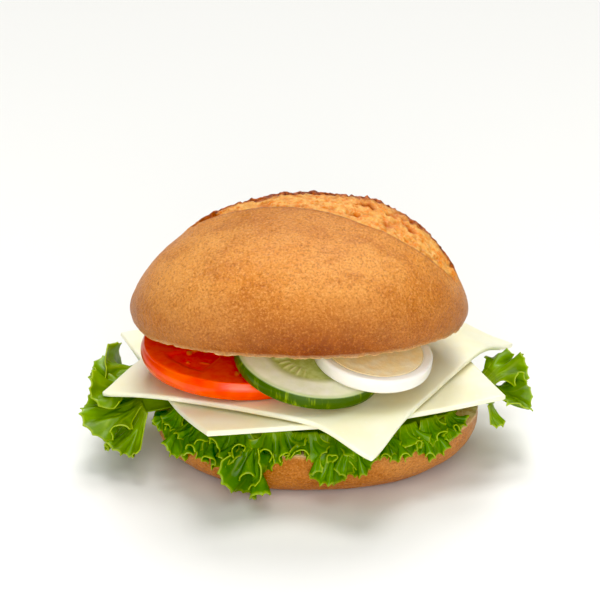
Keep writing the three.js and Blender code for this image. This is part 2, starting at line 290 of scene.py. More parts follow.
class Finish:
    """A material under construction: each method adds a node and returns what comes out of it."""

    def __init__(self, name, **sockets):
        self.material = bpy.data.materials.new(name)
        self.material.use_nodes = True
        self.tree = self.material.node_tree
        self.shader = self.tree.nodes["Principled BSDF"]
        self.output = self.tree.nodes["Material Output"]
        self.place = self.add("ShaderNodeTexCoord").outputs["Object"]
        for socket, value in sockets.items():
            self.shader.inputs[socket.replace("_", " ")].default_value = value

    def add(self, kind, **settings):
        node = self.tree.nodes.new(kind)
        for setting, value in settings.items():
            setattr(node, setting, value)
        return node

    def put(self, socket, value):
        if isinstance(value, bpy.types.NodeSocket):
            self.tree.links.new(value, socket)
        else:
            socket.default_value = value

    def stored(self, name):
        return self.add("ShaderNodeAttribute", attribute_name=name).outputs["Fac"]

    def noise(self, size, detail=3.0, roughness=0.55, stretch=None):
        """Cloudy noise whose lumps are about this size in mm."""
        node = self.add("ShaderNodeTexNoise")
        place = self.place
        if stretch:
            mapping = self.add("ShaderNodeMapping")
            self.put(mapping.inputs["Vector"], place)
            self.put(mapping.inputs["Scale"], stretch)
            place = mapping.outputs["Vector"]
        self.put(node.inputs["Vector"], place)
        self.put(node.inputs["Scale"], 1 / (size * MM))
        self.put(node.inputs["Detail"], detail)
        self.put(node.inputs["Roughness"], roughness)
        return node.outputs["Fac"]

    def ramp(self, value, low, high):
        """Stretches the part of a value between low and high to 0 and 1."""
        node = self.add("ShaderNodeMapRange", interpolation_type="SMOOTHSTEP")
        self.put(node.inputs["Value"], value)
        self.put(node.inputs["From Min"], low)
        self.put(node.inputs["From Max"], high)
        return node.outputs["Result"]

    def some(self, value, low, high, share):
        """The same, but only up to this share."""
        return self.math("MULTIPLY", self.ramp(value, low, high), share)

    def math(self, operation, first, second):
        node = self.add("ShaderNodeMath", operation=operation)
        self.put(node.inputs[0], first)
        self.put(node.inputs[1], second)
        return node.outputs[0]

    def mix(self, factor, first, second):
        """A colour that goes from first to second as factor goes from 0 to 1."""
        node = self.add("ShaderNodeMix", data_type="RGBA")
        self.put(node.inputs["Factor"], factor)
        self.put(node.inputs[6], first)
        self.put(node.inputs[7], second)
        return node.outputs[2]

    def bump(self, height, strength, depth, before=None):
        """Surface relief of this depth in mm, laid over any that came before."""
        node = self.add("ShaderNodeBump")
        self.put(node.inputs["Height"], height)
        self.put(node.inputs["Strength"], strength)
        self.put(node.inputs["Distance"], depth * MM)
        if before:
            self.put(node.inputs["Normal"], before)
        return node.outputs["Normal"]

    def set(self, socket, value):
        self.put(self.shader.inputs[socket], value)

    def glow(self, weight, *reach):
        """Lets light scatter below the surface, as far as this in mm for red, green and blue."""
        self.set("Subsurface Weight", weight)
        self.set("Subsurface Radius", [part * MM for part in reach])
        self.set("Subsurface Scale", 1.0)

    def let_light_through(self, share, colour):
        """Mixes in a shader that shows the light from behind a thin sheet."""
        through = self.add("ShaderNodeBsdfTranslucent")
        self.put(through.inputs["Color"], colour)
        both = self.add("ShaderNodeMixShader")
        self.put(both.inputs["Fac"], share)
        self.put(both.inputs[1], self.shader.outputs["BSDF"])
        self.put(both.inputs[2], through.outputs["BSDF"])
        self.put(self.output.inputs["Surface"], both.outputs["Shader"])


print("orange on a screen is", tuple(round(c, 2) for c in srgb(255, 165, 0)), "for a shader")

# %% [markdown]
# ## The crust
# Baked crust is golden brown, darker where it was nearer the heat and paler where the dough tore. Its skin
# has a fine orange-peel grain that breaks up the shine. Five numbers stored on each point say where it is
# torn, where the torn crumb has a pit, where it is toasted, where it is cut, and how dark it is. The pits and
# the hole of the torn crumb are painted darker as shade, and the low front of the upper half is painted
# darker as shade. The finish mixes its colours by them, so that one material serves both halves.

# %% Mix the crust finish
def crust_finish():
    crust = Finish("baked_crust", Roughness=0.5)
    crust.set("Specular IOR Level", 0.42)
    broad = crust.ramp(crust.noise(24, 3), 0.3, 0.7)
    bands = crust.ramp(crust.noise(11, 4, 0.6, (0.45, 1, 1)), 0.48, 0.7)
    mottle = crust.ramp(crust.noise(4.5, 4, 0.65), 0.3, 0.72)
    grain = crust.noise(0.75, 4, 0.72)
    pores = crust.ramp(crust.noise(1.7, 3, 0.6), 0.58, 0.72)
    skin = crust.mix(broad, srgb(224, 136, 42), srgb(241, 164, 80))
    skin = crust.mix(crust.math("MULTIPLY", bands, 0.65), skin, srgb(192, 104, 20))
    skin = crust.mix(crust.math("MULTIPLY", mottle, 0.3), skin, srgb(236, 162, 76))
    # The darker crust colour, used for browning near the top and for painted shade low on the front.
    baked_and_shaded = crust.mix(mottle, srgb(120, 46, 0), srgb(150, 68, 0))
    skin = crust.mix(crust.stored("baked_and_shaded"), skin, baked_and_shaded)
    pale = crust.mix(crust.stored("baked_and_shaded"), srgb(250, 188, 108), srgb(200, 112, 30))
    skin = crust.mix(crust.some(grain, 0.52, 0.64, 0.6), skin, pale)
    skin = crust.mix(crust.some(grain, 0.5, 0.34, 0.55), skin, srgb(148, 66, 2))
    skin = crust.mix(crust.math("MULTIPLY", pores, 0.4), skin, srgb(158, 78, 14))
    torn = crust.ramp(crust.noise(2.8, 4, 0.7), 0.35, 0.65)
    crumb = crust.mix(torn, srgb(254, 192, 98), srgb(244, 140, 34))
    flakes = crust.some(crust.noise(0.9, 3, 0.6), 0.5, 0.68, 0.6)
    crumb = crust.mix(flakes, crumb, srgb(255, 222, 144))
    # Painted shade: the torn crumb turns darker orange in its pits and its hole.
    crumb = crust.mix(crust.stored("pit_shade"), crumb, srgb(196, 88, 6))
    singed = crust.ramp(crust.noise(1.4, 4, 0.6), 0.38, 0.62)
    toasted = crust.mix(singed, srgb(196, 98, 28), srgb(118, 46, 8))
    open_crumb = crust.ramp(crust.noise(2.2, 4, 0.6), 0.35, 0.65)
    cut = crust.mix(open_crumb, srgb(250, 226, 176), srgb(236, 196, 128))
    colour = crust.mix(crust.stored("torn"), skin, crumb)
    colour = crust.mix(crust.stored("toast"), colour, toasted)
    colour = crust.mix(crust.stored("cut"), colour, cut)
    crust.set("Base Color", colour)
    crust.set("Roughness", crust.math("ADD", crust.math("MULTIPLY", grain, 0.3), 0.22))
    fine = crust.bump(grain, 0.9, 0.6)
    fine = crust.bump(crust.noise(1.3, 3, 0.6), 0.8, 0.8, fine)
    crust.set("Normal", crust.bump(crust.noise(2.2, 4, 0.6), 0.55, 0.8, fine))
    return crust.material


baked_crust = crust_finish()
print("finish:", baked_crust.name)

# %% [markdown]
# ## The upper half of the roll
# A sphere with its poles at the roll's ends has rings that run across the roll, as its cross-sections do.
# Each ring is reshaped in one go: up from the back rim, over the torn split, down to the front rim, and
# back along the cut. A third of each ring's points go to the split, where the detail is. The relief of the
# dough, the ragged lips and the pits of the torn crumb are then worked out from random lumps of several
# sizes.

# %% Sizes of the upper half and its split, in mm
top_low, top_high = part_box("roll_top")
TOP_HALF_LENGTH = (top_high.x - top_low.x) / 2 / MM
TOP_PLACE = ((top_high.x + top_low.x) / 2 / MM, 0, 47.4)
TOP_LEAN = -8
TOP_HALF_DEPTH = 42
TOP_HEIGHT = 41.2
WIDEST_LEVEL = 6
CUT_INSET = 0.952
CRUMB_PRESS = 7
SPLIT_LEFT, SPLIT_RIGHT = -42, 54.5
SPLIT_DROP = 1.6
HOLE_AT = (22.5, 0.72)
FRONT_LIP_RISE = 0.9
BACK_LIP_RISE = 2.4
BACK_LIP_PEAK = 2.4
BACK_LIP_PEAK_AT = 30
BACK_LIP_FADE = 0.42


def split_at(x):
    """Where the split's lips are, as shares of the half depth, and how far it is open at all."""
    along = np.clip((x - SPLIT_LEFT) / (SPLIT_RIGHT - SPLIT_LEFT), 0, 1)
    front = -0.11 - 0.0075 * x - 0.08 * (1 - (x / 48) ** 2)
    front = front + 0.014 * lumps_along(x, 9, 1) + 0.012 * lumps_along(x, 2.2, 2)
    width = 0.12 + 1.25 * along * (1 - along) ** 0.4
    width = width * (1 + 0.07 * lumps_along(x, 6, 3))
    strength = ease(along, 0, 0.12) * (1 - ease(along, 0.95, 1))
    return front, front + width, strength


print("upper half in mm:", round(2 * TOP_HALF_LENGTH, 1), "long and", TOP_HEIGHT, "high")


# %% Shape the upper half
def roll_top():
    top, around, along = sphere_start("crust_top", 300, 280)
    turn = math.pi * along
    turn = turn + 0.2 * np.sin(2 * turn)
    x = -TOP_HALF_LENGTH * np.cos(turn)
    share = np.clip(np.sin(turn), 0, 1)
    front, back, strength = split_at(x)

    # How far round the ring each stretch goes: back tuck, back, split, front, front tuck, cut
    marks = (0.03, 0.22, 0.56, 0.82, 0.86)
    back_turn = np.arccos(np.clip(back + 0.08, -1, 1))
    front_turn = np.arccos(np.clip(front - 0.08, -1, 1))
    over = np.select(
        [around < marks[0], around < marks[1], around < marks[2], around < marks[3]],
        [
            0 * around,
            (around - marks[0]) / (marks[1] - marks[0]) * back_turn,
            back_turn + (around - marks[1]) / (marks[2] - marks[1]) * (front_turn - back_turn),
            front_turn + (around - marks[2]) / (marks[3] - marks[2]) * (math.pi - front_turn),
        ],
        math.pi,
    )
    depth = np.cos(over)
    tuck = np.select(
        [around < marks[0], around < marks[3], around < marks[4]],
        [1 - around / marks[0], 0 * around, (around - marks[3]) / (marks[4] - marks[3])],
        1,
    )
    on_cut = around >= marks[4]
    depth = np.where(on_cut, -1 + 2 * (around - marks[4]) / (1 - marks[4]), depth)

    # The dome, and how the crust stands up round the split
    dome = (TOP_HEIGHT - WIDEST_LEVEL) * share**1.25 * np.sqrt(np.clip(1 - depth**2, 0, 1))
    crest = BACK_LIP_RISE + BACK_LIP_PEAK * np.exp(-(((x - BACK_LIP_PEAK_AT) / 16) ** 2))
    crest = crest * (1 + 0.22 * lumps_along(x, 5, 4)) + 0.35 * lumps_along(x, 1.6, 5)
    across = np.clip((depth - front) / (back - front), 0, 1)
    floor_rise = -SPLIT_DROP + (crest + SPLIT_DROP) * across**1.3
    front_rise = FRONT_LIP_RISE * ease(depth, front - 0.2, front)
    back_rise = crest * (1 - ease(depth, back, back + BACK_LIP_FADE))
    inside = ease(depth, front, front + 0.022) * (depth < back)
    rise = np.where(depth >= back, back_rise, front_rise * (1 - inside) + floor_rise * inside)
    rise = rise * strength * ease(share, 0, 0.5)
    shrink = 1 - (1 - CUT_INSET) * tuck**2
    level = np.where(tuck > 0, WIDEST_LEVEL * (1 - tuck), WIDEST_LEVEL + dome + rise)
    from_middle = np.cos(turn) ** 2 + (share * depth) ** 2
    level = np.where(on_cut, CRUMB_PRESS * (1 - ease(from_middle, 0.3, 0.92)), level)
    shape = np.stack([x * shrink, TOP_HALF_DEPTH * share * depth * shrink, level], axis=1)
    move_points(top, shape)
    turn_outwards(top)

    # Relief: slow dough lumps all over, torn crumb in the split, ragged crumb at the cut rim
    torn = inside * strength * ease(share, 0.1, 0.4) * (1 - on_cut)
    toast = strength**2 * np.exp(-(((depth - back) / 0.045) ** 2)) * (1 - on_cut)
    toast = np.clip(toast + 0.5 * torn * ease(across, 0.72, 0.95), 0, 1)
    lip_line = strength * np.exp(-(((depth - front + 0.008) / 0.022) ** 2)) * (1 - on_cut)
    cut = on_cut.astype(float)
    relief = 0.7 * lumps(shape, 21, 6) + 0.25 * lumps(shape, 8, 7)
    relief = relief + 0.09 * lumps(shape, 2.2, 8) + 0.04 * lumps(shape, 0.9, 15)
    stretched = shape * (0.6, 1, 1)
    pits = 1.3 * np.clip(lumps(stretched, 3.6, 9) - 0.2, 0, 1)
    pits = pits + 0.8 * np.clip(lumps(stretched, 1.6, 10) - 0.15, 0, 1)
    from_hole = ((x - HOLE_AT[0]) / 2.1, (across - HOLE_AT[1]) * (back - front) / 0.028)
    hole = np.exp(-(from_hole[0] ** 2) - (from_hole[1] ** 2))
    pits = pits + 2.2 * hole
    relief = relief * (1 - torn) - torn * 1.5 * pits + torn * 0.4 * lumps(shape, 0.9, 11)
    relief = relief + toast * 0.45 * lumps(shape, 1.1, 12)
    rim = np.exp(-(((tuck - 1) / 0.3) ** 2)) * (1 - on_cut) + cut * ease(from_middle, 0.75, 0.98)
    relief = relief + rim * (0.35 * lumps(shape, 1.8, 13) + 0.2 * lumps(shape, 0.8, 14))
    shape = shape + normals_of(top) * relief[:, None]
    move_points(top, placed(shape, TOP_PLACE, (TOP_LEAN, 0, 0)))
    # Painted shade: the crust is darker low on the front of the upper half, most of all in the middle; near
    # the top it is browner from baking.
    painted_low_front_shade = (1 - ease(shape[:, 2], 0, 26)) * (0.55 + 0.45 * np.exp(-(((x - 4) / 30) ** 2)))
    store(top, "torn", torn)
    # Painted shade: how deep each pit or hole of the torn crumb is, so that it can be darkened.
    store(top, "pit_shade", np.clip(1.1 * pits, 0, 1))
    store(top, "baked_and_shaded", (painted_low_front_shade + 0.25 * ease(shape[:, 2], 30, 42)) * (1 - on_cut))
    # Painted shade: the hole in the torn crumb also takes the dark toasted colour.
    store(top, "toast", np.clip(toast + 0.4 * lip_line + torn * hole, 0, 1))
    cut = cut * (1 - 0.65 * ease(from_middle, 0.8, 0.98)) + 0.25 * rim * (tuck > 0.75)
    store(top, "cut", np.clip(cut, 0, 1))
    hand_over(top, "roll_top", baked_crust)


roll_top()

# %% [markdown]
# ## The lower half of the roll
# The same start, with its poles below and above: rings go out along the cut, down the round side and in
# under the flat foot. The side is smoother than the top, as the crust that lay on the baking sheet is.

# %% Shape the lower half
BOTTOM_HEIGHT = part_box("roll_bottom")[1].z / MM
ROLL_LENGTH, ROLL_DEPTH = 2 * TOP_HALF_LENGTH, 2 * TOP_HALF_DEPTH
BOTTOM_SHARE = 0.965
FOOT_SHARE = 0.58
OUTLINE_POWER = 2.15
RIM_TURN = 1.68


def outline(angle, share):
    """The roll seen from above: the point at an angle round it, in mm."""
    cos, sin = np.cos(angle), np.sin(angle)
    reach = (np.abs(cos) ** OUTLINE_POWER + np.abs(sin) ** OUTLINE_POWER) ** (-1 / OUTLINE_POWER)
    uneven = 1 + 0.012 * np.sin(2 * angle + 0.6) + 0.008 * np.sin(3 * angle + 1.9)
    size = reach * uneven * share / 2
    return ROLL_LENGTH * cos * size, ROLL_DEPTH * sin * size


def roll_bottom():
    bottom, around, down = sphere_start("crust_bottom", 240, 130)
    rim, foot = 0.25, 0.85
    turn = RIM_TURN * np.clip((foot - down) / (foot - rim), 0, 1)
    side = FOOT_SHARE + (1 - FOOT_SHARE) * np.sin(turn) ** 0.8
    under = FOOT_SHARE * (1 - down) / (1 - foot)
    share = np.select([down < rim, down < foot], [down / rim * side, side], under)
    level = BOTTOM_HEIGHT * (1 - np.cos(turn)) / (1 - math.cos(RIM_TURN))
    x, y = outline(2 * math.pi * around, share * BOTTOM_SHARE)
    shape = np.stack([x, y, level], axis=1)
    move_points(bottom, shape)
    turn_outwards(bottom)
    cut = (down < rim).astype(float)
    edge = np.exp(-(((down - rim) / 0.02) ** 2))
    resting = ease(level, 0, 3)
    dough = 0.4 * lumps(shape, 19, 21) + 0.15 * lumps(shape, 7, 22) + 0.06 * lumps(shape, 2.2, 23)
    relief = resting * dough * (1 - cut)
    relief = relief + edge * 0.35 * lumps(shape, 1.8, 24) + cut * 0.3 * lumps(shape, 2.1, 25)
    move_points(bottom, (shape + normals_of(bottom) * relief[:, None]) * MM)
    store(bottom, "torn", 0 * cut)
    store(bottom, "pit_shade", 0 * cut)
    # The whole lower half takes a fixed share of the darker crust colour.
    store(bottom, "baked_and_shaded", 0.35 + 0 * cut)
    store(bottom, "toast", 0.35 * ease(-level, -5, 0))
    store(bottom, "cut", np.clip(cut + 0.7 * edge, 0, 1))
    hand_over(bottom, "roll_bottom", baked_crust)


roll_bottom()

# %% [markdown]
# ## The cheese
# Two square slices lie across each other on the leaves. They bulge over the frills, and their corners sag.
# A grid is laid on that bed and given its thickness, with its cut edges slightly rounded. Cheese lets some
# light in, which makes its thin edges glow, so its finish scatters light below the surface.

# %% Mix the cheese finish
def cheese_finish():
    cheese = Finish("cheese", Roughness=0.38)
    cheese.set("Specular IOR Level", 0.35)
    cheese.glow(0.8, 3.4, 3.2, 2.4)
    cloud = cheese.ramp(cheese.noise(16, 3, 0.5), 0.3, 0.7)
    fleck = cheese.ramp(cheese.noise(2.0, 3, 0.6), 0.6, 0.75)
    colour = cheese.mix(cloud, srgb(252, 245, 214), srgb(249, 238, 199))
    colour = cheese.mix(cheese.math("MULTIPLY", fleck, 0.3), colour, srgb(255, 252, 234))
    cheese.set("Base Color", colour)
    cheese.set("Normal", cheese.bump(cheese.noise(3.5, 3, 0.5), 0.12, 0.4))
    return cheese.material


pale_cheese = cheese_finish()
print("finish:", pale_cheese.name)

# %% Say how the slices lie
CHEESE_SIDE = 103
CHEESE_THICKNESS = 1.8
CHEESE_EDGE = 0.7
GAP = 0.35
LOWER_CENTRE, LOWER_TURN = (-3.1, 9.2), 19
UPPER_CENTRE, UPPER_TURN = (-1.5, 11), -29.7
# The height of each slice above the floor at a few places, given as shares of its side from its middle
LOWER_RESTS = (
    (-0.5, -0.5, 34.5), (-0.25, -0.5, 32), (0, -0.5, 29.5), (0.25, -0.5, 29.5), (0.5, -0.5, 31),
    (-0.5, -0.25, 28.5), (-0.5, 0, 26), (0, 0, 28), (0.5, 0, 30),
    (-0.5, 0.5, 24.5), (0, 0.5, 26), (0.5, 0.5, 24),
)
UPPER_RESTS = (
    (-0.5, -0.5, 25), (-0.25, -0.5, 28.5), (0, -0.5, 31.5), (0.25, -0.5, 31.5), (0.5, -0.5, 26.5),
    (0.5, -0.25, 28.5), (-0.5, 0, 27), (0, 0, 31), (0.5, 0, 32), (0.5, 0.25, 31.5),
    (-0.5, 0.5, 25), (0, 0.5, 28.5), (0.5, 0.5, 25),
)
REST_SLACK = 0.005
print("rests:", len(LOWER_RESTS), "and", len(UPPER_RESTS))


# %% Bend the slices
def slice_share(x, y, centre, turn):
    """Where a place lies on a slice, as shares of its side from its middle."""
    turn = math.radians(turn)
    x, y = x - centre[0], y - centre[1]
    along = x * math.cos(turn) + y * math.sin(turn)
    across = y * math.cos(turn) - x * math.sin(turn)
    return along / CHEESE_SIDE, across / CHEESE_SIDE


def draped(rests, centre, turn):
    """The height of a smoothly bent slice: each of its rests pulls it with the cube of the distance."""
    rests = np.array(rests, dtype=float)
    places, count = rests[:, :2], len(rests)

    def terms(shares):
        distance = np.linalg.norm(shares[:, None] - places[None], axis=2)
        return distance**3, np.column_stack([np.ones(len(shares)), shares])

    bent, flat = terms(places)
    system = np.block([[bent + REST_SLACK * np.eye(count), flat], [flat.T, np.zeros((3, 3))]])
    pulls = np.linalg.solve(system, np.concatenate([rests[:, 2], np.zeros(3)]))

    def height(x, y):
        bent, flat = terms(np.column_stack(slice_share(x, y, centre, turn)))
        return bent @ pulls[:count] + flat @ pulls[count:]

    return height


lower_level = draped(LOWER_RESTS, LOWER_CENTRE, LOWER_TURN)
upper_rest = draped(UPPER_RESTS, UPPER_CENTRE, UPPER_TURN)

def upper_level(x, y):
    """The upper slice lies on the lower one, and hangs where it goes past it."""
    u, v = slice_share(x, y, LOWER_CENTRE, LOWER_TURN)
    on_lower = 1 - ease(np.maximum(np.abs(u), np.abs(v)), 0.49, 0.68)
    own = upper_rest(x, y)
    touching = lower_level(x, y) + CHEESE_THICKNESS + 2 * GAP
    gap = own - touching
    held = touching + 0.5 * (gap + np.sqrt(gap**2 + 1.5))
    return own + on_lower * (held - own)


middle = np.zeros(1)
print("middles in mm:", lower_level(middle, middle).round(1), upper_level(middle, middle).round(1))


# %% Lay the slices
def cheese_slice(name, node, centre, turn, height, seed):
    piece, u, v = grid_start(name, 110, 110)
    flat_x, flat_y = (u - 0.5) * CHEESE_SIDE, (v - 0.5) * CHEESE_SIDE
    flat_x = flat_x + 0.35 * lumps_along(flat_y, 14, seed) * (2 * u - 1) ** 2
    flat_y = flat_y + 0.35 * lumps_along(flat_x, 14, seed + 1) * (2 * v - 1) ** 2
    turn = math.radians(turn)
    x = centre[0] + flat_x * math.cos(turn) - flat_y * math.sin(turn)
    y = centre[1] + flat_x * math.sin(turn) + flat_y * math.cos(turn)
    level = height(x, y) + 0.08 * lumps(np.stack([x, y, 0 * x], axis=1), 9, seed + 2)
    move_points(piece, np.stack([x, y, level], axis=1) * MM)
    apply_modifier(piece, "thickness", "SOLIDIFY", thickness=CHEESE_THICKNESS * MM, offset=0)
    edge = dict(width=CHEESE_EDGE * MM, segments=4, limit_method="ANGLE", angle_limit=1.0)
    apply_modifier(piece, "soft_edge", "BEVEL", **edge)
    turn_outwards(piece)
    hand_over(piece, node, pale_cheese)


cheese_slice("cheese_slice_lower", "cheese_lower", LOWER_CENTRE, LOWER_TURN, lower_level, 31)
cheese_slice("cheese_slice_upper", "cheese_upper", UPPER_CENTRE, UPPER_TURN, upper_level, 35)

# %% [markdown]
# ## Round slices
# Tomato, cucumber and yolk are all cut across something round. A sphere is flattened ring by ring: out over
# the upper cut, round the edge, down the skin and back under. Most rings go to the upper cut, because that
# is the side that shows.

# %% A helper for round slices
def round_slice(name, segments, rings, radius, thickness, bulge, rounding, uneven=0.0, seed=0):
    """A slice on z = 0, with each point's angle, share of the radius, and whether it is on top or skin."""
    piece, around, down = sphere_start(name, segments, rings)
    angle = 2 * math.pi * around
    top_end, skin_start, skin_end, under_start = 0.6, 0.68, 0.82, 0.88
    waves = np.sin(2 * angle + seed) + 0.7 * np.sin(3 * angle + 2 * seed) + 0.4 * np.sin(5 * angle + seed)
    wobble = 1 + uneven * waves
    bend_in = (np.clip((down - top_end) / (skin_start - top_end), 0, 1)) * math.pi / 2
    bend_out = (np.clip((down - skin_end) / (under_start - skin_end), 0, 1)) * math.pi / 2
    fall = np.clip((down - skin_start) / (skin_end - skin_start), 0, 1)
    reach = radius - rounding + rounding * np.where(down < skin_end, np.sin(bend_in), np.cos(bend_out))
    reach = reach - bulge * (2 * fall - 1) ** 2
    flat = radius - rounding - bulge
    under = (1 - down) / (1 - under_start) * flat
    reach = np.select([down < top_end, down < under_start], [down / top_end * flat, reach], under)
    level = thickness - rounding * (1 - np.cos(bend_in))
    level = level - fall * (thickness - 2 * rounding) - rounding * np.sin(bend_out)
    shape = np.stack([reach * wobble * np.cos(angle), reach * wobble * np.sin(angle), level], axis=1)
    on_skin = (down >= skin_start - 0.04) & (down <= skin_end + 0.04)
    return piece, shape, angle, reach / radius, down < top_end, on_skin


print("round slices are ready")

# %% [markdown]
# ## The tomato slice
# A tomato's cut shows a firm outer wall, walls between the seed chambers, and wet jelly with pale seeds in
# the chambers. The jelly lies a little lower than the walls. Wet flesh is glossy and lets light in.

# %% Mix the tomato finish
def tomato_finish():
    tomato = Finish("tomato", Roughness=0.3)
    tomato.set("Specular IOR Level", 0.35)
    tomato.glow(0.25, 3.0, 0.9, 0.5)
    tomato.set("Coat Weight", 0.1)
    tomato.set("Coat Roughness", 0.12)
    fibre = tomato.ramp(tomato.noise(3.0, 4, 0.6), 0.3, 0.7)
    flesh = tomato.mix(fibre, srgb(248, 68, 22), srgb(254, 94, 36))
    jelly = tomato.mix(fibre, srgb(255, 58, 14), srgb(255, 84, 26))
    skin = tomato.mix(tomato.ramp(tomato.noise(9, 2), 0.3, 0.7), srgb(240, 60, 2), srgb(250, 96, 8))
    colour = tomato.mix(tomato.stored("jelly"), flesh, jelly)
    colour = tomato.mix(tomato.stored("seed"), colour, srgb(236, 168, 84))
    colour = tomato.mix(tomato.stored("skin"), colour, skin)
    tomato.set("Base Color", colour)
    tomato.set("Normal", tomato.bump(tomato.noise(1.6, 3, 0.55), 0.2, 0.3))
    return tomato.material


red_tomato = tomato_finish()
print("finish:", red_tomato.name)

# %% Shape the tomato slice
TOMATO_RADIUS, TOMATO_THICKNESS = 32.3, 6.3
TOMATO_PLACE, TOMATO_TURNS = (-26.4, -0.4, BOTTOM_HEIGHT + 16.2), (1.2, 2.2, 0)
CHAMBERS = 6


def tomato_slice():
    piece, shape, angle, reach, on_top, on_skin = round_slice(
        "tomato_cut", 240, 130, TOMATO_RADIUS, TOMATO_THICKNESS,
        bulge=0.9, rounding=0.7, uneven=0.006, seed=2,
    )
    wave = np.cos(CHAMBERS * angle + 1.2 + 0.5 * np.sin(2 * angle))
    chamber = ease(wave, -0.75, -0.2) * ease(reach, 0.28, 0.42) * (1 - ease(reach, 0.76, 0.84)) * on_top
    grain = lumps(shape, 2.3, 41)
    seed_spot = ease(grain, 0.5, 0.62) * ease(chamber, 0.5, 0.9)
    sink = -0.55 * chamber + 0.5 * seed_spot + on_top * 0.1 * lumps(shape, 3.1, 42)
    shape[:, 2] += sink
    move_points(piece, placed(shape, TOMATO_PLACE, TOMATO_TURNS))
    turn_outwards(piece)
    store(piece, "jelly", chamber)
    store(piece, "seed", seed_spot * 0.8)
    store(piece, "skin", on_skin)
    hand_over(piece, "tomato_slice", red_tomato)


tomato_slice()

# %% [markdown]
# ## The cucumber slice
# The skin is dark green with paler streaks down it. Inside it a thin green line fades to pale firm flesh,
# and the middle is glassy, with three chambers of flat seeds.

# %% Mix the cucumber finish
def cucumber_finish():
    cucumber = Finish("cucumber", Roughness=0.35)
    cucumber.set("Specular IOR Level", 0.3)
    cucumber.glow(0.3, 2.0, 2.2, 0.9)
    cucumber.set("Coat Weight", 0.05)
    cucumber.set("Coat Roughness", 0.15)
    streak = cucumber.ramp(cucumber.noise(2.4, 3, 0.6, (1, 1, 0.15)), 0.52, 0.72)
    skin = cucumber.mix(streak, srgb(62, 92, 0), srgb(150, 172, 10))
    cloud = cucumber.ramp(cucumber.noise(4, 3), 0.3, 0.7)
    flesh = cucumber.mix(cloud, srgb(249, 247, 224), srgb(240, 240, 206))
    wet = cucumber.ramp(cucumber.noise(2.5, 3), 0.35, 0.65)
    glassy = cucumber.mix(wet, srgb(206, 214, 140), srgb(186, 196, 112))
    colour = cucumber.mix(cucumber.stored("glassy"), flesh, glassy)
    colour = cucumber.mix(cucumber.stored("seed"), colour, srgb(232, 226, 172))
    colour = cucumber.mix(cucumber.stored("green"), colour, srgb(150, 182, 60))
    colour = cucumber.mix(cucumber.stored("skin"), colour, skin)
    cucumber.set("Base Color", colour)
    cucumber.set("Normal", cucumber.bump(cucumber.noise(1.8, 3, 0.55), 0.15, 0.3))
    return cucumber.material


green_cucumber = cucumber_finish()
print("finish:", green_cucumber.name)

# %% Shape the cucumber slice
CUCUMBER_RADIUS, CUCUMBER_THICKNESS = 25, 4.6
CUCUMBER_PLACE, CUCUMBER_TURNS = (-2.8, -18.5, BOTTOM_HEIGHT + 21.7), (8, 10, 0)


def cucumber_slice():
    piece, shape, angle, reach, on_top, on_skin = round_slice(
        "cucumber_cut", 220, 120, CUCUMBER_RADIUS, CUCUMBER_THICKNESS,
        bulge=0.4, rounding=0.5, uneven=0.005, seed=5,
    )
    glassy = (1 - ease(reach, 0.5, 0.66)) * on_top
    seed_ring = np.cos(27 * angle + 2 * np.sin(3 * angle)) * np.exp(-(((reach - 0.42) / 0.12) ** 2))
    seed_spot = ease(seed_ring, 0.35, 0.7) * ease(np.cos(3 * angle + 0.7), -0.7, 0.1) * on_top
    shape[:, 2] += -0.35 * glassy + 0.4 * seed_spot + on_top * 0.06 * lumps(shape, 2.5, 51)
    move_points(piece, placed(shape, CUCUMBER_PLACE, CUCUMBER_TURNS))
    turn_outwards(piece)
    store(piece, "glassy", glassy)
    store(piece, "seed", seed_spot * 0.7)
    store(piece, "green", ease(reach, 0.88, 0.97) * 0.5)
    store(piece, "skin", ease(reach, 0.965, 0.985) * np.where(on_top, 0.8, 1))
    hand_over(piece, "cucumber_slice", green_cucumber)


cucumber_slice()

# %% [markdown]
# ## The egg slice
# The white is a ring, so it starts as a torus whose round section is pressed to a rounded rectangle. The
# yolk fills the hole, flush with the cut. The white is smooth and glows a little, and the yolk is matt and
# crumbly.

# %% Mix the egg finishes
def egg_white_finish():
    white = Finish("egg_white", Roughness=0.3)
    white.set("Base Color", srgb(244, 240, 230))
    white.glow(0.4, 2.4, 2.0, 1.6)
    white.set("Normal", white.bump(white.noise(2.5, 2, 0.5), 0.1, 0.3))
    return white.material


def egg_yolk_finish():
    yolk = Finish("egg_yolk", Roughness=0.75)
    cloud = yolk.ramp(yolk.noise(3.5, 3, 0.6), 0.3, 0.7)
    yolk.set("Base Color", yolk.mix(cloud, srgb(255, 228, 170), srgb(255, 238, 200)))
    yolk.glow(0.2, 2.0, 1.4, 0.7)
    yolk.set("Normal", yolk.bump(yolk.noise(0.8, 3, 0.6), 0.35, 0.3))
    return yolk.material


boiled_white, boiled_yolk = egg_white_finish(), egg_yolk_finish()
print("finishes:", boiled_white.name, boiled_yolk.name)

# %% Shape the egg slice
EGG_RADIUS, YOLK_RADIUS, EGG_THICKNESS = 19.6, 16.2, 5
EGG_SQUARE = 4.5
EGG_PLACE, EGG_TURNS = (18.3, -19, BOTTOM_HEIGHT + 23.9), (7, 8, 0)


